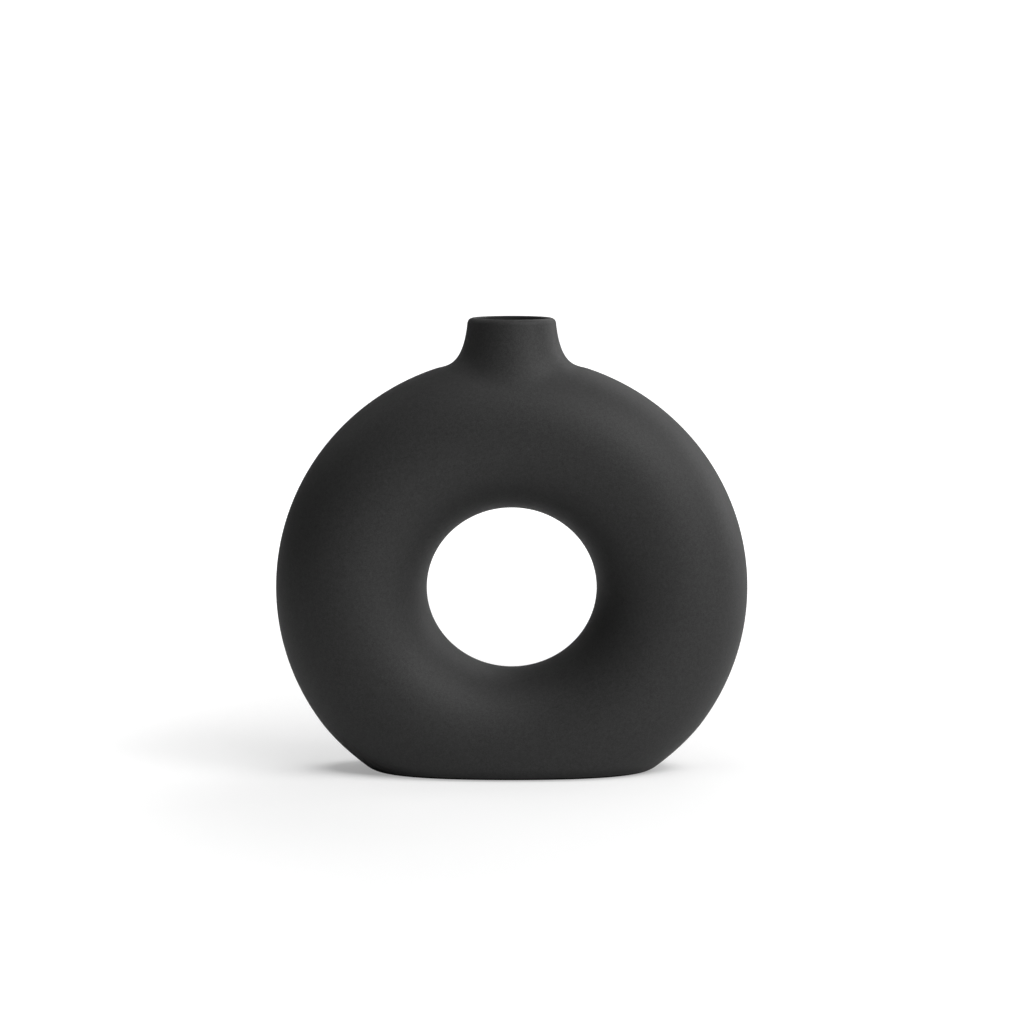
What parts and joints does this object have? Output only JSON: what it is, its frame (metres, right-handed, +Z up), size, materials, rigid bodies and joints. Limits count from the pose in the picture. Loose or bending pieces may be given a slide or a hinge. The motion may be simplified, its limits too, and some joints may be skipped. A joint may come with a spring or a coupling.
{
  "type": "donut vase",
  "caption": "Ring-shaped ceramic vase: a round hollow tube bent into a ring with an open eye, a short flared neck on its crest and a flat foot.",
  "frame": {"origin": "centre of the foot on the surface that the vase stands on", "axes": "+X along the ring's width, +Y from the front to the back, +Z up; the front faces -Y"},
  "size_m": [0.2, 0.064, 0.1927],
  "materials": {
    "charcoal_glaze": "matte charcoal glaze with a fine sandy grain and a soft sheen",
    "foot_clay": "the same matte glaze on the edge, wiped back to bare dark stoneware underneath",
    "felt": "pressed wool felt, near black"
  },
  "bodies": {
    "root": {"front_shell": "charcoal_glaze", "back_shell": "charcoal_glaze", "neck": "charcoal_glaze", "base_slab": "foot_clay", "foot_pad_1": "felt", "foot_pad_2": "felt", "foot_pad_3": "felt", "foot_pad_4": "felt"}
  },
  "joints": []
}
